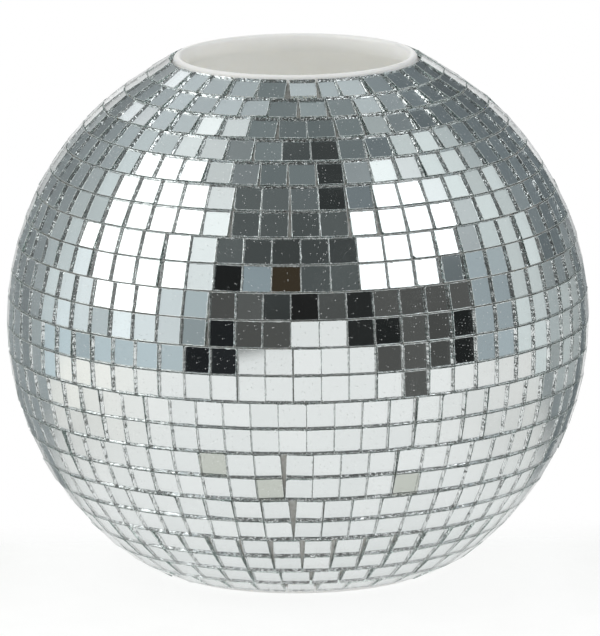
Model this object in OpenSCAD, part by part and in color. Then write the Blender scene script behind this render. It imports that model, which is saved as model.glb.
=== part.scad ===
// Mirror-ball vase.
// A hollow white ball vessel, open at the top and flat at the base, wrapped in flexible backing
// strips that carry rows of square glass mirror tiles. The strips run round the ball like lines of
// latitude. Each strip is one or two rows wide, and its tiles line up in columns.
// Millimetres, +Z up. The origin is the middle of the underside of the base.
// An azimuth of 0 faces -Y and grows towards +X.

/* [Ball] */
// Diameter of the ball over the faces of its tiles
ball_d = 220; // [214:1:232]
// Diameter of the round white foot
foot_d = 100; // [90:1:104]
// Height of the foot's underside below the lowest row of tiles
foot_reveal = 2; // [1:0.1:3]
// Height of the lip above the top edge of the highest row of tiles
lip_rise = 1.1; // [0.4:0.1:2]
// Angle by which the highest row stands steeper than the ball, and the lowest one lies flatter
end_tip = 5.5; // [0:0.5:7]
// Wall of the vessel
wall_t = 3; // [2:0.1:4]
// Floor of the vessel
floor_t = 4; // [3:0.5:8]

/* [Tiles] */
// Side of a square tile
tile_w = 9.85; // [9.6:0.05:9.9]
// Thickness of the glass
tile_t = 1.8; // [1.5:0.1:2]
// Gap between one row of tiles and the next
row_gap = 0.52; // [0.45:0.01:0.6]
// Least gap between neighbouring tiles of a row, where they come closest
column_gap = 0.09; // [0.05:0.01:0.1]
// Narrowest piece of tile that is cut to close a row
cut_w_min = 3; // [2:0.5:4]
// Thickness of the woven backing under the tiles
backing_t = 0.3; // [0.2:0.05:0.5]

/* [Hidden] */
// Rows of tiles above and below the widest part of the ball
ROWS_ABOVE = 12;
ROWS_BELOW = 11;
// Each strip from the top down: its rows, the slack added to its column gap, and the azimuth where
// its first tile starts. A row that doesn't close on a whole tile closes with a cut one there.
STRIPS = [
    [1, 0.336, 17.9],
    [1, 0, 175.7],
    [1, 0.04, 174.3],
    [1, 0, 181.7],
    [1, 0, 177.8],
    [2, 0.03, 178.4],
    [2, 0.26, 179.3],
    [2, 0.1, 175.8],
    [2, 0.31, 173.5],
    [2, 0.1, 178.7],
    [2, 0, 179.7],
    [2, 0.03, 178.4],
    [2, 0.06, 176.5],
    [1, 0.46, 176.9],
    [1, 0.47, 180.1],
];
// Space left between the edges of neighbouring strips, and between the neck and the top tiles
STRIP_CLEARANCE = 0.2;
NECK_CLEARANCE = 0.65;
// Smoothness of the turned surfaces
$fn = 128;

rows = ROWS_ABOVE + ROWS_BELOW;
ball_r = ball_d / 2;
backing_r = ball_r - tile_t;
vessel_r = backing_r - backing_t;
// Angle of latitude from one row to the next
row_angle = (tile_w + row_gap) / ball_r * 180 / PI;

// Latitude of the middle of row i, where row 1 is the highest
function row_lat(i) = (ROWS_ABOVE - i + 0.5) * row_angle;

// The first and last rows are tipped about the edge of theirs that is next to the other rows.
// These are a row's tip, and where up its slope from its middle the edge that it tips about lies.
function tip(i) = i == 1 || i == rows ? end_tip : 0;
function hinge(i) = i == 1 ? -tile_w / 2 : i == rows ? tile_w / 2 : 0;

// Directions outwards from the ball and up its surface at a latitude, as [from the axis, up]
function outwards(lat) = [cos(lat), sin(lat)];
function upwards(lat) = [-sin(lat), cos(lat)];

// The point, as [distance from the axis, height above the ball's centre], that lies out beyond the
// backs of the tiles of row i, and u up their slope from its middle
function row_point(i, out, u) =
    backing_r * outwards(row_lat(i)) + hinge(i) * upwards(row_lat(i))
    + out * outwards(row_lat(i) - tip(i)) + (u - hinge(i)) * upwards(row_lat(i) - tip(i));

// The centre stands high enough for the foot to show below the last row
centre_h = foot_reveal - row_point(rows, tile_t, -tile_w / 2)[1];
height = centre_h + row_point(1, tile_t, tile_w / 2)[1] + lip_rise;
neck_r = row_point(1, 0, tile_w / 2)[0] - NECK_CLEARANCE;
mouth_r = neck_r - wall_t;

// Distance from the axis of the edge of row i where its tiles come closest, at their backs
function narrow_r(i) = row_point(i, 0, sign(row_lat(i)) * tile_w / 2)[0];

// Rows of strip s, and the strip that holds row i
function first_row(s) = s == 1 ? 1 : first_row(s - 1) + STRIPS[s - 2][0];
function last_row(s) = first_row(s) + STRIPS[s - 1][0] - 1;
function strip_of(i, s = 1) = i <= last_row(s) ? s : strip_of(i, s + 1);

// Angle round the axis that a width w takes up at a distance r
function width_angle(w, r) = 2 * atan(w / 2 / r);

// Layout of strip s: its tightest radius, the gap between its columns, the whole tiles that fit
// round it, the angle they leave over, and the width of the cut tile that would fill it
function tight_r(s) = min([for (i = [first_row(s) : last_row(s)]) narrow_r(i)]);
function strip_gap(s) = column_gap + STRIPS[s - 1][1];
function tight_step(s) = width_angle(tile_w + strip_gap(s), tight_r(s));
function whole_tiles(s) = floor(360 / tight_step(s));
function left_over(s) = 360 - whole_tiles(s) * tight_step(s);
function cut_w(s) = 2 * tight_r(s) * tan(left_over(s) / 2) - strip_gap(s);
function has_cut_tile(s) = cut_w(s) >= cut_w_min;
function column_step(s) = has_cut_tile(s) ? tight_step(s) : 360 / whole_tiles(s);
function start_azimuth(s) = STRIPS[s - 1][2];

// Names such as tile_row_07
function numbered(name, i) = str(name, i < 10 ? "0" : "", i);

// Half of the ball's section, flat below and cut off above where the neck leaves it. It has a
// straight slope under each tipped row: the upper one is built out, and the lower one is cut away.
module ball_section() {
    strip_half = (tile_w + row_gap - STRIP_CLEARANCE) / 2;
    into_neck = tile_w / 2 + 2;
    shoulder_low = row_point(1, -backing_t, -strip_half);
    shoulder_high = row_point(1, -backing_t, into_neck);
    hip_high = row_point(rows, -backing_t, strip_half);
    hip_low = row_point(rows, -backing_t, -2 * tile_w);
    difference() {
        intersection() {
            translate([0, centre_h]) circle(vessel_r);
            square([vessel_r, centre_h + sqrt(pow(vessel_r, 2) - pow(neck_r, 2))]);
        }
        translate([0, centre_h])
            polygon([hip_high, hip_low, [ball_d, hip_low[1]], [ball_d, hip_high[1]]]);
    }
    translate([0, centre_h])
        polygon([shoulder_low, shoulder_high, [0, shoulder_high[1]], [0, shoulder_low[1]]]);
}

// Half of the vessel's section: the ball on a low foot, with a short straight neck and a round lip
module vessel_section() {
    lip_r = wall_t / 2;
    difference() {
        union() {
            ball_section();
            square([foot_d / 2, foot_reveal]);
            translate([0, centre_h]) square([neck_r, height - lip_r - centre_h]);
            translate([neck_r - lip_r, height - lip_r]) circle(lip_r);
        }
        intersection() {
            translate([0, centre_h]) circle(vessel_r - wall_t);
            translate([0, floor_t]) square([vessel_r, height - floor_t]);
        }
        translate([0, centre_h]) square([mouth_r, height - lip_r - centre_h]);
    }
}

module vessel() {
    color("whitesmoke") rotate_extrude() vessel_section();
}

// Section of a strip of backing that follows the ball: a thin shell between two latitudes
module round_strip_section(s) {
    edge_angle = STRIP_CLEARANCE / 2 / backing_r * 180 / PI;
    top = row_lat(first_row(s)) + row_angle / 2 - edge_angle;
    bottom = row_lat(last_row(s)) - row_angle / 2 + edge_angle;
    reach = ball_d;
    intersection() {
        difference() {
            circle(backing_r);
            circle(vessel_r);
        }
        polygon([
            [0, 0],
            reach * outwards(bottom),
            reach * outwards((top + bottom) / 2),
            reach * outwards(top),
        ]);
    }
}

// Section of the strip under a tipped row, which is straight from edge to edge
module straight_strip_section(i) {
    half = (tile_w + row_gap - STRIP_CLEARANCE) / 2;
    polygon([
        row_point(i, 0, -half),
        row_point(i, 0, half),
        row_point(i, -backing_t, half),
        row_point(i, -backing_t, -half),
    ]);
}

module backing_strip(s) {
    color("tan") translate([0, 0, centre_h]) rotate_extrude()
        if (tip(first_row(s)) > 0) straight_strip_section(first_row(s));
        else round_strip_section(s);
}

// One flat tile of row i and width w, with its back against the backing
module tile(azimuth, i, w) {
    rotate([0, 0, azimuth]) rotate([-row_lat(i), 0, 0])
        translate([0, -backing_r, hinge(i)]) rotate([tip(i), 0, 0])
        translate([-w / 2, -tile_t, -hinge(i) - tile_w / 2])
        cube([w, tile_t, tile_w]);
}

// All the tiles of row i: whole ones from the start azimuth round, then the cut one if there is one
module tile_row(i) {
    s = strip_of(i);
    color("lightsteelblue") translate([0, 0, centre_h]) {
        for (k = [1 : whole_tiles(s)])
            tile(start_azimuth(s) + (k - 0.5) * column_step(s), i, tile_w);
        if (has_cut_tile(s))
            tile(start_azimuth(s) - left_over(s) / 2, i, cut_w(s));
    }
}

vessel();
for (s = [1 : len(STRIPS)])
    backing_strip(s);
for (i = [1 : rows])
    tile_row(i);
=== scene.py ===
import math
import random

import bmesh
import bpy
from mathutils import Matrix, Vector


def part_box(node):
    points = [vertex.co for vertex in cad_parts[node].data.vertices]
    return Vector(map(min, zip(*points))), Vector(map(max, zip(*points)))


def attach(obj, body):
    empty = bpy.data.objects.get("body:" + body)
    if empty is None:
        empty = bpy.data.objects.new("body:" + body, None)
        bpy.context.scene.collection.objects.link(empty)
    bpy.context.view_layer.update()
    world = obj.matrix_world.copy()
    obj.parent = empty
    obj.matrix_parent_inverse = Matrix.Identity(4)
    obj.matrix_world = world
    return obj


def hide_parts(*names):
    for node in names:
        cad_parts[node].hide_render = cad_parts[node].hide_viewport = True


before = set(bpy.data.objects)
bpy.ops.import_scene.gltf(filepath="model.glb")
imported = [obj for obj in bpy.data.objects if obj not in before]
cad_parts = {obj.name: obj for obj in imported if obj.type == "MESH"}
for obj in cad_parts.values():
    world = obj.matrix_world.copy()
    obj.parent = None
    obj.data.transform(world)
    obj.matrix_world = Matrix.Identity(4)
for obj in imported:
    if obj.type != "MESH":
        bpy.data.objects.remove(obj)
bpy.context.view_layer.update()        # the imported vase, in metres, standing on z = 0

MM = 0.001
ROWS = sorted(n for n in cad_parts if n.startswith("tile_row_"))
STRIPS = sorted(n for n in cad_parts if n.startswith("backing_strip_"))


# ---------------------------------------------------------------- measures taken from the frame

def middle_of(node):
    low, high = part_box(node)
    return (Vector(low) + Vector(high)) / 2


def widest_rows():
    """The two rows that meet at the ball's widest part."""
    return sorted(ROWS, key=lambda n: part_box(n)[0][0])[:2]


# The ball's centre lies on the axis, halfway between the middles of its two widest rows.
CENTRE = Vector((0, 0, sum(middle_of(n).z for n in widest_rows()) / 2))


def corners_by_solid(mesh):
    """The corner points of each separate solid in a mesh."""
    key_of = {}
    parent = []

    def find(i):
        while parent[i] != i:
            parent[i] = parent[parent[i]]
            i = parent[i]
        return i

    at = []
    for v in mesh.vertices:
        key = tuple(round(c, 6) for c in v.co)
        if key not in key_of:
            key_of[key] = len(parent)
            parent.append(len(parent))
        at.append(key_of[key])
    for edge in mesh.edges:
        a, b = (find(at[i]) for i in edge.vertices)
        parent[a] = b
    solids = {}
    for key, i in key_of.items():
        solids.setdefault(find(i), []).append(Vector(key))
    return solids.values()


# Azimuths past this are counted from the other side of the seam at the back
SEAM = 179.9
# A tile narrower than this share of a whole one is a cut one
CUT_SHARE = 0.95


class Block:
    """Where one flat tile sits: its middle, its three directions and its size."""

    def __init__(self, corners):
        self.middle = sum(corners, Vector()) / len(corners)
        thickness = min((c - corners[0] for c in corners[1:]), key=lambda edge: edge.length)
        outwards = thickness.dot(self.middle - CENTRE) > 0
        self.out = (thickness if outwards else -thickness).normalized()
        axis = Vector((0, 0, 1))
        self.up = (axis - self.out * axis.dot(self.out)).normalized()
        self.right = self.up.cross(self.out)
        self.width = self.extent(corners, self.right)
        self.height = self.extent(corners, self.up)
        self.thick = self.extent(corners, self.out)
        # A tile that straddles the seam at the back is always the first of its row
        azimuth = math.degrees(math.atan2(self.middle.x, -self.middle.y))
        self.azimuth = azimuth - 360 if azimuth > SEAM else azimuth
        # Angle round the axis that is the tile's own, whether its left and right sides spread to fill
        # it, and how far the tile stands aside and rolls for a wide joint
        self.slot = 0
        self.spread = [False, False]
        self.aside = 0
        self.roll = 0

    def extent(self, corners, direction):
        along = [(c - self.middle).dot(direction) for c in corners]
        return max(along) - min(along)


def blocks_of(row):
    """The tiles of a row in order of azimuth, which doesn't depend on how the file was written."""
    solids = corners_by_solid(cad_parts[row].data)
    blocks = sorted((Block(corners) for corners in solids), key=lambda b: b.azimuth)
    steps = sorted(math.radians(b.azimuth - a.azimuth) for a, b in zip(blocks, blocks[1:]))
    step = steps[len(steps) // 2]
    whole = max(b.width for b in blocks)
    for block in blocks:
        is_cut = block.width < CUT_SHARE * whole
        block.slot = 2 * math.pi - (len(blocks) - 1) * step if is_cut else step
    return blocks


def ball_radius():
    """From the ball's centre to the middle of a tile's face."""
    block = blocks_of(widest_rows()[0])[0]
    return (block.middle - CENTRE).length + block.thick / 2


BALL_R = ball_radius()


# ---------------------------------------------------------------- node helpers

def new_material(name):
    material = bpy.data.materials.new(name)
    material.use_nodes = True
    tree = material.node_tree
    return material, tree, tree.nodes["Principled BSDF"]


def add(tree, kind, **settings):
    """A new node. Settings that name an input set its value, and the others set properties."""
    node = tree.nodes.new(kind)
    for name, value in settings.items():
        label = name.replace("_", " ")
        if label in node.inputs:
            node.inputs[label].default_value = value
        else:
            setattr(node, name, value)
    return node


def math_node(tree, operation, a, b=None):
    node = tree.nodes.new("ShaderNodeMath")
    node.operation = operation
    for socket, value in zip(node.inputs, (a, b)):
        if value is None:
            continue
        if isinstance(value, (int, float)):
            socket.default_value = value
        else:
            tree.links.new(value, socket)
    return node.outputs[0]


def smooth_range(tree, value, low, high, to_low=0.0, to_high=1.0):
    node = add(tree, "ShaderNodeMapRange", interpolation_type="SMOOTHSTEP")
    tree.links.new(value, node.inputs["Value"])
    node.inputs["From Min"].default_value = low
    node.inputs["From Max"].default_value = high
    node.inputs["To Min"].default_value = to_low
    node.inputs["To Max"].default_value = to_high
    return node.outputs["Result"]


def ramp(tree, value, stops):
    """A colour ramp on value. stops are (position, colour)."""
    node = tree.nodes.new("ShaderNodeValToRGB")
    elements = node.color_ramp.elements
    while len(elements) < len(stops):
        elements.new(0.5)
    for element, (position, colour) in zip(elements, stops):
        element.position = position
        element.color = (*colour, 1)
    tree.links.new(value, node.inputs["Fac"])
    return node.outputs["Color"]


def mix_colour(tree, factor, a, b):
    node = tree.nodes.new("ShaderNodeMix")
    node.data_type = "RGBA"
    for index, value in ((0, factor), (6, a), (7, b)):
        if isinstance(value, tuple):
            node.inputs[index].default_value = (*value, 1)
        else:
            tree.links.new(value, node.inputs[index])
    return node.outputs[2]


def place(tree):
    """Position on the object, which sits at the origin, in metres."""
    return tree.nodes.new("ShaderNodeTexCoord").outputs["Object"]


def noise(tree, vector, scale, detail=2.0, roughness=0.5):
    node = add(tree, "ShaderNodeTexNoise", Scale=scale, Detail=detail, Roughness=roughness)
    tree.links.new(vector, node.inputs["Vector"])
    return node.outputs["Fac"]


def stretch(tree, vector, scale):
    node = tree.nodes.new("ShaderNodeVectorMath")
    node.operation = "MULTIPLY"
    tree.links.new(vector, node.inputs[0])
    node.inputs[1].default_value = scale
    return node.outputs[0]


def bump(tree, height, shader, strength, distance):
    node = add(tree, "ShaderNodeBump", Strength=strength, Distance=distance)
    tree.links.new(height, node.inputs["Height"])
    tree.links.new(node.outputs["Normal"], shader.inputs["Normal"])


# ---------------------------------------------------------------- materials

GLASS_IOR = 1.5


def glass_face():
    """The polished front of a tile: clear glass with specks of dust and patches of fine haze."""
    material, tree, shader = new_material("glass_face")
    shader.inputs["Base Color"].default_value = (0.97, 0.982, 0.982, 1)
    shader.inputs["IOR"].default_value = GLASS_IOR
    where = place(tree)
    dust = add(tree, "ShaderNodeTexVoronoi", Scale=650.0)
    tree.links.new(where, dust.inputs["Vector"])
    specks = smooth_range(tree, dust.outputs["Distance"], 0.13, 0.06)
    grains = smooth_range(tree, noise(tree, where, 2200, 1.0), 0.55, 0.75)
    patches = smooth_range(tree, noise(tree, where, 45, 1.0), 0.5, 0.75, 0.01, 0.10)
    haze = math_node(tree, "MULTIPLY", grains, patches)
    dirt = math_node(tree, "MAXIMUM", math_node(tree, "MULTIPLY", specks, 0.8), haze)
    tree.links.new(math_node(tree, "SUBTRACT", 1.0, dirt), shader.inputs["Transmission Weight"])
    tree.links.new(math_node(tree, "MULTIPLY", specks, 0.3), shader.inputs["Roughness"])
    return material


def glass_chips():
    """The broken front edge of a tile: crushed glass, pale and rough."""
    material, tree, shader = new_material("glass_chips")
    shader.inputs["IOR"].default_value = GLASS_IOR
    crumbs = noise(tree, place(tree), 2500, 2.0)
    tint = ramp(tree, crumbs, [(0.35, (0.70, 0.80, 0.78)), (0.6, (0.97, 0.985, 0.98))])
    tree.links.new(tint, shader.inputs["Base Color"])
    tree.links.new(smooth_range(tree, crumbs, 0.35, 0.6, 0.85, 0.35), shader.inputs["Transmission Weight"])
    tree.links.new(smooth_range(tree, crumbs, 0.3, 0.7, 0.05, 0.3), shader.inputs["Roughness"])
    bump(tree, crumbs, shader, 0.8, 0.15 * MM)
    return material


def facets(tree, vector, amount):
    """The surface's own direction, tipped a different way on each facet by as much as amount."""
    cells = add(tree, "ShaderNodeTexVoronoi", Scale=1.0)
    tree.links.new(vector, cells.inputs["Vector"])
    middle = add(tree, "ShaderNodeVectorMath", operation="SUBTRACT")
    tree.links.new(cells.outputs["Color"], middle.inputs[0])
    middle.inputs[1].default_value = (0.5, 0.5, 0.5)
    tip = add(tree, "ShaderNodeVectorMath", operation="SCALE")
    tree.links.new(middle.outputs[0], tip.inputs[0])
    tree.links.new(amount, tip.inputs["Scale"])
    total = add(tree, "ShaderNodeVectorMath", operation="ADD")
    tree.links.new(tree.nodes.new("ShaderNodeNewGeometry").outputs["Normal"], total.inputs[0])
    tree.links.new(tip.outputs[0], total.inputs[1])
    unit = add(tree, "ShaderNodeVectorMath", operation="NORMALIZE")
    tree.links.new(total.outputs[0], unit.inputs[0])
    return unit.outputs[0], cells.outputs["Color"]


def glass_edge():
    """The snapped sides of a tile: clear glass in small conchoidal facets, crushed in places."""
    material, tree, shader = new_material("glass_edge")
    shader.inputs["IOR"].default_value = GLASS_IOR
    shader.inputs["Roughness"].default_value = 0.0
    cut = add(tree, "ShaderNodeAttribute", attribute_name="cut").outputs["Vector"]
    hackle = noise(tree, stretch(tree, cut, (1.5, 0.6, 1)), 1, 1.5, 0.6)
    tint = ramp(tree, hackle, [(0.35, (0.80, 0.91, 0.88)), (0.55, (0.98, 1.0, 0.99))])
    tree.links.new(tint, shader.inputs["Base Color"])
    crush = noise(tree, stretch(tree, cut, (0.5, 0.4, 1)), 1, 0.0)
    crushed = smooth_range(tree, crush, 0.4, 0.65, 0.12, 0.9)
    normal, chance = facets(tree, stretch(tree, cut, (2.8, 1.0, 1)), crushed)
    tree.links.new(normal, shader.inputs["Normal"])
    tree.links.new(smooth_range(tree, chance, 0.75, 0.8, 1.0, 0.8), shader.inputs["Transmission Weight"])
    return material


def silvering():
    """The silver on the back of the glass. Each tile's is a little brighter or duller, and a tone
    of 0 is an old tile's, which has yellowed."""
    material, tree, shader = new_material("silvering")
    shader.inputs["Metallic"].default_value = 1.0
    shader.inputs["Roughness"].default_value = 0.015
    tone = add(tree, "ShaderNodeAttribute", attribute_name="tone").outputs["Fac"]
    tint = ramp(tree, tone, [
        (0.0, (0.54, 0.56, 0.515)),
        (0.1, (0.735, 0.76, 0.76)),
        (1.0, (0.79, 0.81, 0.81)),
    ])
    tree.links.new(tint, shader.inputs["Base Color"])
    return material


def backing_paint():
    """The grey paint behind the silver, which shows where the silver stops short."""
    material, tree, shader = new_material("backing_paint")
    shader.inputs["Roughness"].default_value = 0.7
    mottle = noise(tree, place(tree), 900, 3.0)
    tint = ramp(tree, mottle, [(0.3, (0.38, 0.38, 0.35)), (0.7, (0.60, 0.61, 0.59))])
    tree.links.new(tint, shader.inputs["Base Color"])
    return material


def backing_mesh():
    """Thin woven backing, pale with dried glue."""
    material, tree, shader = new_material("backing_mesh")
    shader.inputs["Roughness"].default_value = 0.6
    weave_at = add(tree, "ShaderNodeAttribute", attribute_name="weave").outputs["Vector"]
    threads = tree.nodes.new("ShaderNodeTexWave")
    threads.inputs["Scale"].default_value = 0.5
    threads.inputs["Distortion"].default_value = 0.6
    tree.links.new(weave_at, threads.inputs["Vector"])
    glue = noise(tree, place(tree), 700, 3.0)
    height = math_node(tree, "ADD", threads.outputs["Fac"], math_node(tree, "MULTIPLY", glue, 2.0))
    half = math_node(tree, "MULTIPLY", height, 0.5)
    woven = ramp(tree, half, [(0.5, (0.36, 0.34, 0.29)), (0.75, (0.64, 0.64, 0.62))])
    tree.links.new(woven, shader.inputs["Base Color"])
    bump(tree, height, shader, 0.6, 0.1 * MM)
    return material


def vessel_plastic():
    """Smooth white moulded plastic with a soft shine, faint mottling and a fine moulded skin."""
    material, tree, shader = new_material("vessel_plastic")
    where = place(tree)
    cloud = noise(tree, where, 14, 3.0)
    tint = ramp(tree, cloud, [(0.3, (0.80, 0.80, 0.785)), (0.7, (0.86, 0.86, 0.85))])
    tree.links.new(tint, shader.inputs["Base Color"])
    skin = noise(tree, where, 450, 2.0)
    tree.links.new(smooth_range(tree, skin, 0.3, 0.7, 0.32, 0.42), shader.inputs["Roughness"])
    shader.inputs["Subsurface Weight"].default_value = 0.3
    shader.inputs["Subsurface Radius"].default_value = (1.0, 0.95, 0.85)
    shader.inputs["Subsurface Scale"].default_value = 3 * MM
    bump(tree, skin, shader, 0.15, 0.05 * MM)
    return material


# ---------------------------------------------------------------- tiles

# Slots of a tile's mesh
FACE, CHIP, EDGE, SILVER, PAINT = range(5)
# Points along each snapped side, and how far it wanders from straight
SIDE_POINTS = 14
WANDER = 0.03 * MM
# The sharp front edge is broken by a tiny uneven flat, here and there by a chip
ARRIS = 0.10 * MM
# Joint left between tiles whose sides spread to meet, and the most that a side may spread
THIN_JOINT = 0.15 * MM
MOST_SPREAD = 0.5 * MM
# Room kept between the drawn tile and the space that it has
TILE_SLACK = 0.01 * MM


class MeshParts:
    """Points and faces of one mesh as they are made, with each face's slot and tone, and with where
    each face corner lies on the tile's cut sides."""

    def __init__(self):
        self.points = []
        self.faces = []
        self.slots = []
        self.cuts = []
        self.tones = []

    def ring(self, points):
        first = len(self.points)
        self.points.extend(points)
        return list(range(first, len(self.points)))

    def face(self, indices, slot, tone, cuts=None):
        self.faces.append(indices)
        self.slots.append(slot)
        self.tones.append(tone)
        self.cuts.extend(cuts or [(0.0, 0.0, 0.0)] * len(indices))

    def build(self, name, materials):
        mesh = bpy.data.meshes.new(name)
        mesh.from_pydata(self.points, [], self.faces)
        for material in materials:
            mesh.materials.append(material)
        mesh.polygons.foreach_set("material_index", self.slots)
        cut = mesh.attributes.new("cut", "FLOAT_VECTOR", "CORNER")
        cut.data.foreach_set("vector", [c for corner in self.cuts for c in corner])
        tone = mesh.attributes.new("tone", "FLOAT", "FACE")
        tone.data.foreach_set("value", self.tones)
        mesh.validate()
        piece = bpy.data.objects.new(name, mesh)
        bpy.context.scene.collection.objects.link(piece)
        return piece


def outline(half_w, half_h, rng):
    """A snapped tile's outline, anticlockwise from its lower left corner: four nearly straight
    sides with small waves, and corners that are a little chipped."""
    corners = [(-half_w, -half_h), (half_w, -half_h), (half_w, half_h), (-half_w, half_h)]
    chips = [abs(rng.gauss(0, 0.06)) * MM + 0.04 * MM for _ in corners]
    if rng.random() < 0.12:
        chips[rng.randrange(4)] = rng.uniform(0.4, 1.1) * MM
    points = []
    for side in range(4):
        (ax, ay), (bx, by) = corners[side], corners[(side + 1) % 4]
        length = math.hypot(bx - ax, by - ay)
        dx, dy = (bx - ax) / length, (by - ay) / length
        start, end = chips[side], length - chips[(side + 1) % 4]
        bow = rng.gauss(0, 0.5) * WANDER
        for k in range(SIDE_POINTS):
            t = k / (SIDE_POINTS - 1)
            along = start + (end - start) * t
            swell = math.sin(math.pi * t)
            off = -abs(rng.gauss(0, 1)) * WANDER * swell ** 0.3 + bow * swell
            points.append((ax + dx * along - dy * off, ay + dy * along + dx * off))
    return points


def spread_to_fit(points, block, half_w):
    """Widen an outline on the sides that spread, so that it fills the angle that is its own."""
    from_axis = Vector((block.middle.x, block.middle.y, 0))
    slope = block.up.dot(from_axis.normalized())
    fitted = []
    for x, y in points:
        share = x / half_w
        half_slot = (from_axis.length + y * slope) * math.tan(block.slot / 2)
        room = half_slot - THIN_JOINT / 2 - half_w
        if block.spread[share > 0]:
            x += share * min(max(room, 0), MOST_SPREAD)
        fitted.append((x, y))
    return fitted


def broken_edge(points, half_w, half_h, rng):
    """The front face's outline inside the broken edge, and how deep the edge is broken all round."""
    inner, depths = [], []
    for x, y in points:
        bite = ARRIS * (0.7 + abs(rng.gauss(0, 0.7)))
        if rng.random() < 0.05:
            bite += rng.uniform(0.08, 0.25) * MM
        inner.append((x * (1 - bite / half_w), y * (1 - bite / half_h)))
        depths.append(0.7 * bite)
    return inner, depths


def add_tile(parts, block, tilt, tone, rng):
    """One glass tile: a flat front, a broken front edge, rippled sides that lean a little, and a
    silvered back with a thin border of bare paint."""
    half_w = block.width / 2 - TILE_SLACK
    half_h = block.height / 2 - TILE_SLACK
    half_t = block.thick / 2
    front = spread_to_fit(outline(half_w, half_h, rng), block, half_w)
    face, depths = broken_edge(front, half_w, half_h, rng)
    lean = [rng.gauss(0, 0.05) * MM for _ in range(4)]
    turn = Matrix.Rotation(tilt[0], 3, block.right) @ Matrix.Rotation(tilt[1], 3, block.up)
    turn = turn @ Matrix.Rotation(tilt[2] + block.roll, 3, block.out)
    sag = half_h * abs(math.sin(tilt[0])) + half_w * abs(math.sin(tilt[1]))
    middle = block.middle + block.out * max(0, sag - SUNK) + block.right * block.aside

    def placed(x, y, z):
        return middle + turn @ (block.right * x + block.up * y + block.out * z)

    def shrunk(points, inset):
        return [(x * (1 - inset / half_w), y * (1 - inset / half_h)) for x, y in points]

    def leaning(points, share):
        moved = []
        for i, (x, y) in enumerate(points):
            side = i // SIDE_POINTS
            push = lean[side] * share + rng.gauss(0, 0.4) * WANDER
            nx, ny = ((0, -1), (1, 0), (0, 1), (-1, 0))[side]
            moved.append((x + nx * push, y + ny * push))
        return moved

    count = len(front)
    back = leaning(front, 1.0)
    rings = [
        (face, [half_t] * count),
        (front, [half_t - depth for depth in depths]),
        (leaning(front, 0.4), [half_t * 0.25] * count),
        (back, [-half_t] * count),
    ]
    loops = []
    for ring, heights in rings:
        loops.append(parts.ring([placed(x, y, z) for (x, y), z in zip(ring, heights)]))
    parts.face(loops[0], FACE, tone)
    seed = (rng.uniform(0, 100), rng.uniform(0, 100))
    step = (half_w + half_h) * 4 / count / MM
    for number, (upper, lower) in enumerate(zip(loops, loops[1:])):
        down = (rings[number][1][0] / MM, rings[number + 1][1][0] / MM)
        for i in range(count):
            j = (i + 1) % count
            across = (seed[0] + i * step, seed[0] + (i + 1) * step)
            cuts = [(across[0], down[0], seed[1]), (across[0], down[1], seed[1]),
                    (across[1], down[1], seed[1]), (across[1], down[0], seed[1])]
            parts.face([upper[i], lower[i], lower[j], upper[j]], EDGE if number else CHIP, tone, cuts)
    border = rng.uniform(0.015, 0.06) * MM
    inner = parts.ring([placed(x, y, -half_t) for x, y in shrunk(back, border)])
    outer = loops[-1]
    for i in range(count):
        j = (i + 1) % count
        parts.face([outer[i], inner[i], inner[j], outer[j]], PAINT, tone)
    parts.face(inner[::-1], SILVER, tone)


# Tiles set one by one, because they sit plainly out of true or reflect something that their neighbours
# don't: row, azimuth, and how far the face leans down and turns to the right, in degrees
ODD_TILES = [
    (13, 23.6, -5.8, 0),
    (12, 18, -0.7, 0),
    (12, -20, -2.6, 0),
    (12, -14.8, -2.2, 0),
    (11, -20.8, -1.0, -2.0),
    (11, 1.5, 4.6, 0),
    (11, 7, 4.2, 0),
    (9, 34, 1.2, 0.5),
    (9, 15.6, -0.6, 0.8),
    (3, -25.5, 0, -2.5),
    (3, -19.2, 0, -3.5),
    (3, 25.8, 0, 4.0),
    (2, -14.6, 0, -4.5),
    (2, 16.3, 2.5, 0),
    (1, 3.2, -5.5, 0),
]
# Tiles whose silver has yellowed: row and azimuth
OLD_TILES = [(17, -6.4), (17, 23.3), (16, -18)]
# A tile is found by the azimuth of its middle, to this many degrees
NEAR = 2.4


def tilt_of(row_number, block, rng):
    """How far a tile is out of true: about its width, about its height, and in its own plane."""
    lean, turn, roll = rng.gauss(0, 0.85), rng.gauss(0, 0.8), rng.gauss(0, 0.3)
    for row, azimuth, down, right in ODD_TILES:
        if row == row_number and abs(block.azimuth - azimuth) < NEAR:
            lean, turn = down, right
    return math.radians(lean), math.radians(turn), math.radians(roll)


def tone_of(row_number, block, rng):
    """Brightness of a tile's silver."""
    tone = rng.uniform(0.1, 1)
    for row, azimuth in OLD_TILES:
        if row == row_number and abs(block.azimuth - azimuth) < NEAR:
            return 0
    return tone


# The joints between the columns of a strip. As the strip narrows towards a pole its columns fan out:
# at a THIN joint the tiles are cut to meet all the same, an OPEN one shows the fan's gap, and at a
# WIDE one the columns also stand aside and close the joints next to them.
THIN, OPEN, WIDE = range(3)
# The most that a tile rolls beside a wide joint
MOST_FAN = math.radians(2.4)
# Chances of an open joint on a loose strip, and of a wide one and an open one on the others
LOOSE_OPEN, WIDE_CHANCE, OPEN_CHANCE = 0.7, 0.03, 0.17
# Joints of a known kind: first row of the strip, azimuth and kind
KNOWN_JOINTS = [
    (6, -1.6, OPEN),
    (14, 24.6, WIDE),
    (16, -3.5, WIDE),
    (18, -1.8, WIDE),
    (18, 5.4, OPEN),
    (20, -15.8, OPEN),
    (20, -7.6, OPEN),
    (20, 1.0, OPEN),
    (20, 24.6, OPEN),
]


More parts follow.
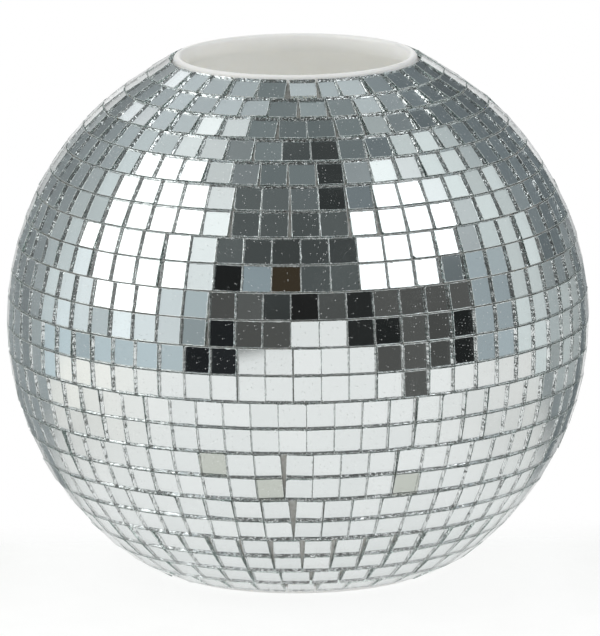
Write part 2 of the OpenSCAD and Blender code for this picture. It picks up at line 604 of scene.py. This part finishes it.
def kind_of(first_row, rows, azimuth, rng):
    """The kind of one joint. Strips of one row and the lowest strips have the most open ones."""
    chance = rng.random()
    for row, known, kind in KNOWN_JOINTS:
        if row == first_row and abs(known - azimuth) < NEAR:
            return kind
    if rows == 1 or first_row >= 20:
        return OPEN if chance < LOOSE_OPEN else THIN
    if chance < WIDE_CHANCE:
        return WIDE
    return OPEN if chance < WIDE_CHANCE + OPEN_CHANCE else THIN


def set_joints(first_row, rows):
    """Choose the kinds of the joints of one strip, and move or spread the tiles of its rows to suit."""
    rng = random.Random(first_row)
    count = len(rows[0])
    polar = max(rows, key=lambda blocks: abs(blocks[0].out.z))
    for k in range(count):
        azimuth = rows[0][k].azimuth + math.degrees(rows[0][k].slot) / 2
        kind = kind_of(first_row, len(rows), azimuth, rng)
        for blocks in rows:
            left, right = blocks[k], blocks[(k + 1) % count]
            if kind == THIN:
                left.spread[1] = right.spread[0] = True
            if kind == WIDE:
                fan = min(1.1 * left.slot * abs(left.out.z), MOST_FAN)
                reach = left.height / 2 + (left.middle - polar[k].middle).length
                for tile, side in ((left, -1), (right, 1)):
                    tile.roll = side * math.copysign(fan, tile.out.z)
                    tile.aside = side * math.tan(fan) * reach
    for blocks in rows:
        for k, tile in enumerate(blocks):
            if tile.aside:
                tile.spread = [False, False]
                blocks[k - 1].spread[1] = False
                blocks[(k + 1) % count].spread[0] = False


def rows_on(strip):
    """The rows of tiles that a strip of backing carries."""
    low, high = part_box(strip)
    return [row for row in ROWS if low[2] < middle_of(row).z < high[2]]


def make_tiles(materials):
    for strip in STRIPS:
        rows = {row: blocks_of(row) for row in rows_on(strip)}
        first_row = int(min(rows)[-2:])
        set_joints(first_row, list(rows.values()))
        for row, blocks in rows.items():
            number = int(row[-2:])
            parts = MeshParts()
            for index, block in enumerate(blocks):
                rng = random.Random(number * 1000 + index)
                add_tile(parts, block, tilt_of(number, block, rng), tone_of(number, block, rng), rng)
            piece = parts.build("glass_" + row, materials)
            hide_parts(row)
            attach(piece, "root")


# ---------------------------------------------------------------- vessel and backing

def make_vessel(material):
    """The vessel from the CAD's own surface, welded and shaded smooth except at its corners."""
    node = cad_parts["vessel"]
    mesh = node.data.copy()
    mesh.materials.clear()
    mesh.materials.append(material)
    shape = bmesh.new()
    shape.from_mesh(mesh)
    bmesh.ops.transform(shape, matrix=node.matrix_world, verts=shape.verts)
    bmesh.ops.remove_doubles(shape, verts=shape.verts, dist=0.002 * MM)
    shape.to_mesh(mesh)
    shape.free()
    mesh.polygons.foreach_set("use_smooth", [True] * len(mesh.polygons))
    mesh.set_sharp_from_angle(angle=math.radians(30))
    piece = bpy.data.objects.new("white_vessel", mesh)
    bpy.context.scene.collection.objects.link(piece)
    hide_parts("vessel")
    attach(piece, "root")


# Steps round and across a strip of backing
STRIP_STEPS = 360
STRIP_LINES = 7
# How far the strip's outside lies below the backs of the tiles, and how much it wanders
SUNK = 0.10 * MM
LUMPS = 0.035 * MM


def strip_edges(node):
    """The four corners of a strip's section as (distance from the axis, height): the outer and
    inner ends of its upper edge, then of its lower edge."""
    places = [v.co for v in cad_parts[node].data.vertices]
    points = {(round(math.hypot(at.x, at.y), 6), round(at.z, 6)) for at in places}

    def latitude(p):
        return math.atan2(p[1] - CENTRE.z, p[0])

    def reach(p):
        return math.hypot(p[0], p[1] - CENTRE.z)

    ordered = sorted(points, key=latitude)
    near = 0.05 * MM / BALL_R
    top = [p for p in ordered if latitude(p) > latitude(ordered[-1]) - near]
    bottom = [p for p in ordered if latitude(p) < latitude(ordered[0]) + near]
    return [max(top, key=reach), min(top, key=reach), max(bottom, key=reach), min(bottom, key=reach)]


def make_strip(node, material):
    """A closed band of backing, a little sunk below the tiles and lumpy with glue."""
    top_out, top_in, low_out, low_in = (Vector((p[0], p[1] - CENTRE.z)) for p in strip_edges(node))
    straight = node in (STRIPS[0], STRIPS[-1])
    rng = random.Random(node)
    rings = []
    for start, end, depth, lumps in ((top_out, low_out, SUNK, LUMPS), (low_in, top_in, 0, 0)):
        for k in range(STRIP_LINES):
            share = k / (STRIP_LINES - 1)
            angle = math.atan2(start.y, start.x) * (1 - share) + math.atan2(end.y, end.x) * share
            radius = start.length * (1 - share) + end.length * share
            if straight:
                point = start.lerp(end, share)
                angle, radius = math.atan2(point.y, point.x), point.length
            rings.append((angle, radius - depth, lumps))
    points, weave, faces = [], [], []
    for angle, radius, lumps in rings:
        for i in range(STRIP_STEPS):
            turn = 2 * math.pi * i / STRIP_STEPS
            r = radius - rng.random() * lumps
            flat = r * math.cos(angle)
            from_centre = Vector((math.sin(turn) * flat, -math.cos(turn) * flat, r * math.sin(angle)))
            points.append(CENTRE + from_centre)
            weave.append((turn * flat / MM, angle * radius / MM, 0))
    for k in range(len(rings)):
        here, there = k * STRIP_STEPS, (k + 1) % len(rings) * STRIP_STEPS
        for i in range(STRIP_STEPS):
            j = (i + 1) % STRIP_STEPS
            faces.append([here + i, there + i, there + j, here + j])
    mesh = bpy.data.meshes.new(node)
    mesh.from_pydata(points, [], faces)
    mesh.materials.append(material)
    at = mesh.attributes.new("weave", "FLOAT_VECTOR", "POINT")
    at.data.foreach_set("vector", [c for w in weave for c in w])
    piece = bpy.data.objects.new("woven_" + node, mesh)
    bpy.context.scene.collection.objects.link(piece)
    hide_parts(node)
    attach(piece, "root")


# ---------------------------------------------------------------- studio

# The studio round the vase, as the tiles see it, made up so that they reflect much what they do in
# the photograph. Each patch: a name, the azimuth of its middle (0 is towards the camera and + is
# right), half its width, its elevation, half its height, its softness (all in degrees), and its
# colour. Later patches lie over earlier ones.
STUDIO = [
    ("back_left", -145, 32, -5, 35, 20, (0.29, 0.32, 0.33)),
    ("back_left_high", -140, 35, 52, 20, 20, (0.55, 0.60, 0.62)),
    ("left_wall", -112, 14, 25, 45, 18, (0.68, 0.74, 0.75)),
    ("right_wall", 108, 15, 16, 46, 12, (0.76, 0.82, 0.82)),
    ("ceiling", 0, 180, 84, 16, 12, (0.20, 0.23, 0.235)),
    ("ceiling_right", 25, 34, 80, 4, 4, (0.055, 0.060, 0.060)),
    ("back_right_high", 162, 28, 64, 9, 14, (0.64, 0.70, 0.72)),
    ("ceiling_left", -96, 38, 61, 6, 10, (0.92, 0.96, 0.96)),
    ("right_halo", 82, 10, 43, 17, 8, (0.92, 0.96, 0.97)),
    ("right_halo_high", 66, 14, 57, 5, 6, (0.95, 1.0, 1.0)),
    ("right_card", 84, 9, 2, 19, 6, (0.40, 0.46, 0.49)),
    ("left_card_low", -84, 38, -9, 7, 8, (0.56, 0.65, 0.69)),
    ("left_grey", -46, 8, 8, 14, 6, (0.42, 0.48, 0.50)),
    ("left_card", -80, 30, 7, 9, 8, (0.90, 0.96, 0.98)),
    ("left_halo", -52, 10, 42, 22, 8, (0.98, 1.02, 1.02)),
    ("room", -5, 33, 30, 32, 4, (0.115, 0.128, 0.128)),
    ("room_low", 20, 55, 4, 13, 4, (0.104, 0.105, 0.101)),
    ("room_dark", 0, 30, 37, 5, 6, (0.065, 0.072, 0.072)),
    ("screen", -17, 4, 26, 4, 2, (0.30, 0.36, 0.39)),
    ("brown_door", -4, 3, 27, 5, 3, (0.055, 0.042, 0.028)),
    ("clamp", -31, 4, 26, 4, 2, (0.016, 0.017, 0.017)),
    ("camera", -3, 9, 15, 4, 2, (0.018, 0.018, 0.018)),
    ("stand", 25, 4, 10, 10, 2, (0.030, 0.032, 0.032)),
    ("stand_foot", 34, 5, 3, 4, 2, (0.020, 0.022, 0.022)),
    ("table_leg", 68, 4, -1, 9, 2, (0.018, 0.020, 0.020)),
    ("chair", -35, 8, -3, 9, 3, (0.020, 0.022, 0.024)),
    ("boom", 27, 6, 63, 8, 2, (0.038, 0.042, 0.042)),
    ("window", -150, 8, 31, 3, 2, (0.95, 0.98, 1.0)),
    ("table_right", 140, 14, -11, 8, 8, (0.50, 0.54, 0.54)),
    ("backdrop", 180, 17, 20, 27, 8, (1.0, 1.0, 1.0)),
    ("backdrop_low", 180, 12, -23, 16, 8, (1.0, 1.0, 1.0)),
    ("beside_backdrop", 160, 5, 19, 7, 4, (0.15, 0.17, 0.18)),
]
# What the tiles see where no patch is, and what the camera sees behind the vase
BEHIND = (0.175, 0.203, 0.216)
BACKDROP = (1.0, 1.0, 1.0)
# What lights the matt surfaces from all round
AMBIENT = (0.6, 0.6, 0.6)


def band(tree, value, middle, half, soft):
    """1 where value is within half of middle, fading to 0 over soft."""
    away = math_node(tree, "ABSOLUTE", math_node(tree, "SUBTRACT", value, middle))
    return smooth_range(tree, away, half + soft / 2, half - soft / 2)


def turned(tree, azimuth, middle):
    """How far azimuth is from middle, the short way round, in degrees."""
    offset = math_node(tree, "ADD", math_node(tree, "SUBTRACT", azimuth, middle), 540)
    return math_node(tree, "SUBTRACT", math_node(tree, "MODULO", offset, 360), 180)


def make_world():
    world = bpy.data.worlds.new("studio")
    bpy.context.scene.world = world
    world.use_nodes = True
    tree = world.node_tree
    direction = tree.nodes.new("ShaderNodeTexCoord").outputs["Generated"]
    split = tree.nodes.new("ShaderNodeSeparateXYZ")
    tree.links.new(direction, split.inputs[0])
    towards = math_node(tree, "MULTIPLY", split.outputs["Y"], -1.0)
    degrees = 180 / math.pi
    azimuth = math_node(tree, "ARCTAN2", split.outputs["X"], towards)
    azimuth = math_node(tree, "MULTIPLY", azimuth, degrees)
    elevation = math_node(tree, "MULTIPLY", math_node(tree, "ARCSINE", split.outputs["Z"]), degrees)
    colour = BEHIND
    for _, az, half_az, el, half_el, soft, tint in STUDIO:
        inside = band(tree, elevation, el, half_el, soft)
        if half_az < 180:
            beside = band(tree, turned(tree, azimuth, az), 0, half_az, soft)
            inside = math_node(tree, "MULTIPLY", inside, beside)
        colour = mix_colour(tree, inside, colour, tint)
    mottle = smooth_range(tree, noise(tree, direction, 5.0, 2.0), 0.3, 0.7, 0.8, 1.2)
    scaled = tree.nodes.new("ShaderNodeVectorMath")
    scaled.operation = "SCALE"
    tree.links.new(colour, scaled.inputs[0])
    tree.links.new(mottle, scaled.inputs["Scale"])
    path = tree.nodes.new("ShaderNodeLightPath")
    colour = mix_colour(tree, path.outputs["Is Diffuse Ray"], scaled.outputs[0], AMBIENT)
    colour = mix_colour(tree, path.outputs["Is Camera Ray"], colour, BACKDROP)
    tree.links.new(colour, tree.nodes["Background"].inputs["Color"])


def softbox(name, azimuth, elevation, distance, half_width, half_height, shape, radiance, tint):
    """A flat soft light that faces the ball's centre. Its halves are the angles it takes up."""
    width = 2 * distance * math.tan(math.radians(half_width))
    height = 2 * distance * math.tan(math.radians(half_height))
    light = bpy.data.lights.new(name, "AREA")
    light.shape = shape
    light.size = width
    light.size_y = height
    light.energy = radiance * math.pi * width * height * (math.pi / 4 if shape == "ELLIPSE" else 1)
    light.color = tint
    lamp = bpy.data.objects.new(name, light)
    a, e = math.radians(azimuth), math.radians(elevation)
    towards = Vector((math.sin(a) * math.cos(e), -math.cos(a) * math.cos(e), math.sin(e)))
    lamp.location = CENTRE + towards * distance
    lamp.rotation_euler = towards.to_track_quat("Z", "Y").to_euler()
    lamp.visible_camera = False
    bpy.context.scene.collection.objects.link(lamp)


# Power in watts and radius of each lamp in the vessel
GLOW_POWER = 0.046
GLOW_RADIUS = 25 * MM


def inner_glow(name, side, tint):
    """A small unseen lamp in the vessel, which makes its inside as bright as in the photograph."""
    light = bpy.data.lights.new(name, "POINT")
    light.energy = GLOW_POWER
    light.color = tint
    light.shadow_soft_size = GLOW_RADIUS
    lamp = bpy.data.objects.new(name, light)
    lamp.location = CENTRE + Vector((side, 0, 0))
    lamp.visible_camera = False
    lamp.visible_glossy = False
    bpy.context.scene.collection.objects.link(lamp)


# The white paper reaches from under the back of the ball to well in front of it, and to both sides
PAPER_LEFT = -0.52
PAPER_RIGHT = 0.62
PAPER_FRONT = -1.9
PAPER_BACK = 0.08
# Width over which its edges fade
PAPER_FADE = 0.06
# What it gives off in the middle, and as painted shade of the ball at both sides close to it
PAPER_PLAIN = (0.735, 0.74, 0.735)
PAPER_PAINTED_SHADE = (0.59, 0.59, 0.575)


def make_floor():
    """A sheet of white paper that fades out at its edges. It gives off most of its own light, which stands
    for soft light falling on it, with painted light and shade at its sides: warm and light on the left, a
    little dull on the right, and painted shade of the ball on both sides close to it."""
    mesh = bpy.data.meshes.new("floor")
    low, high = Vector((PAPER_LEFT, PAPER_FRONT)), Vector((PAPER_RIGHT, PAPER_BACK))
    corners = [(low.x, low.y, 0), (high.x, low.y, 0), (high.x, high.y, 0), (low.x, high.y, 0)]
    mesh.from_pydata(corners, [], [(0, 1, 2, 3)])
    floor = bpy.data.objects.new("floor", mesh)
    bpy.context.scene.collection.objects.link(floor)
    material, tree, shader = new_material("paper")
    shader.inputs["Roughness"].default_value = 0.9
    shader.inputs["Specular IOR Level"].default_value = 0.1
    shader.inputs["Emission Strength"].default_value = 1.2
    fibre = noise(tree, place(tree), 60, 3.0)
    tree.links.new(ramp(tree, fibre, [(0.3, (0.11, 0.11, 0.11)), (0.7, (0.13, 0.13, 0.13))]),
                   shader.inputs["Base Color"])
    split = tree.nodes.new("ShaderNodeSeparateXYZ")
    tree.links.new(place(tree), split.inputs[0])
    # The tiles reflect the sides of the sheet, which carry painted light and shade. To look as in the
    # photograph, the left is painted warm and light, the right a little dull, and both sides get painted
    # shade close to the ball.
    towards = math_node(tree, "MULTIPLY", split.outputs["Y"], -1.0)
    round_ball = math_node(tree, "ARCTAN2", split.outputs["X"], towards)
    share = math_node(tree, "ADD", math_node(tree, "DIVIDE", round_ball, 2 * math.pi), 0.5)
    # Painted light by side: warm and light on the left, a little dull on the right
    sides = ramp(tree, share, [
        (0.26, (0.80, 0.785, 0.74)),
        (0.38, PAPER_PLAIN),
        (0.63, PAPER_PLAIN),
        (0.76, (0.65, 0.645, 0.63)),
    ])
    away = tree.nodes.new("ShaderNodeVectorMath")
    away.operation = "LENGTH"
    tree.links.new(place(tree), away.inputs[0])
    # Painted shade of the ball, on both sides close to it
    close = smooth_range(tree, away.outputs["Value"], 0.36, 0.16)
    turn = math_node(tree, "ABSOLUTE", round_ball)
    beside = smooth_range(tree, turn, math.radians(35), math.radians(95))
    shade = mix_colour(tree, math_node(tree, "MULTIPLY", close, beside), sides, PAPER_PAINTED_SHADE)
    # The sheet stays plain, without the painted light and shade, under and straight behind or before the
    # ball
    aside = smooth_range(tree, math_node(tree, "ABSOLUTE", split.outputs["X"]), 0.090, 0.190)
    glow = mix_colour(tree, aside, PAPER_PLAIN, shade)
    tree.links.new(glow, shader.inputs["Emission Color"])
    middle, half = (low + high) / 2, (high - low) / 2
    inside_x = band(tree, split.outputs["X"], middle.x, half.x - PAPER_FADE / 2, PAPER_FADE)
    inside_y = band(tree, split.outputs["Y"], middle.y, half.y - PAPER_FADE / 2, PAPER_FADE)
    tree.links.new(math_node(tree, "MULTIPLY", inside_x, inside_y), shader.inputs["Alpha"])
    mesh.materials.append(material)


def make_camera():
    """A long lens a little above the vase, leaning by the small roll of the photograph."""
    elevation, roll = math.radians(11.5), math.radians(-0.58)
    distance = 40 * BALL_R
    picture_width = 600
    # The ball's radius as a share of the picture's width
    ball_share = 290.2 / picture_width
    data = bpy.data.cameras.new("camera")
    data.sensor_fit = "HORIZONTAL"
    data.sensor_width = 36
    data.lens = data.sensor_width * ball_share * distance / BALL_R
    data.clip_end = 100
    data.shift_x = 2 / picture_width
    data.shift_y = -0.8 / picture_width
    camera = bpy.data.objects.new("camera", data)
    towards = Vector((0, -math.cos(elevation), math.sin(elevation)))
    camera.matrix_world = (
        Matrix.Translation(CENTRE + towards * distance)
        @ towards.to_track_quat("Z", "Y").to_matrix().to_4x4()
        @ Matrix.Rotation(roll, 4, "Z")
    )
    bpy.context.scene.collection.objects.link(camera)
    bpy.context.scene.camera = camera


# ---------------------------------------------------------------- the scene

make_tiles([glass_face(), glass_chips(), glass_edge(), silvering(), backing_paint()])
make_vessel(vessel_plastic())
woven = backing_mesh()
for strip in STRIPS:
    make_strip(strip, woven)
make_floor()
make_world()
softbox("left_softbox", -79, 34, 1.3, 26, 26, "ELLIPSE", 1.7, (1.0, 0.99, 0.96))
softbox("right_softbox", 54, 36, 1.3, 19, 17, "RECTANGLE", 1.7, (0.98, 0.99, 1.0))
inner_glow("left_glow", -50 * MM, (0.88, 0.94, 1.0))
inner_glow("right_glow", 50 * MM, (1.0, 0.94, 0.80))
make_camera()
bpy.context.scene.view_settings.view_transform = "Standard"
# Light turns many times inside the edges of the glass
cycles = bpy.context.scene.cycles
cycles.max_bounces = 24
cycles.glossy_bounces = 12
cycles.transmission_bounces = 24
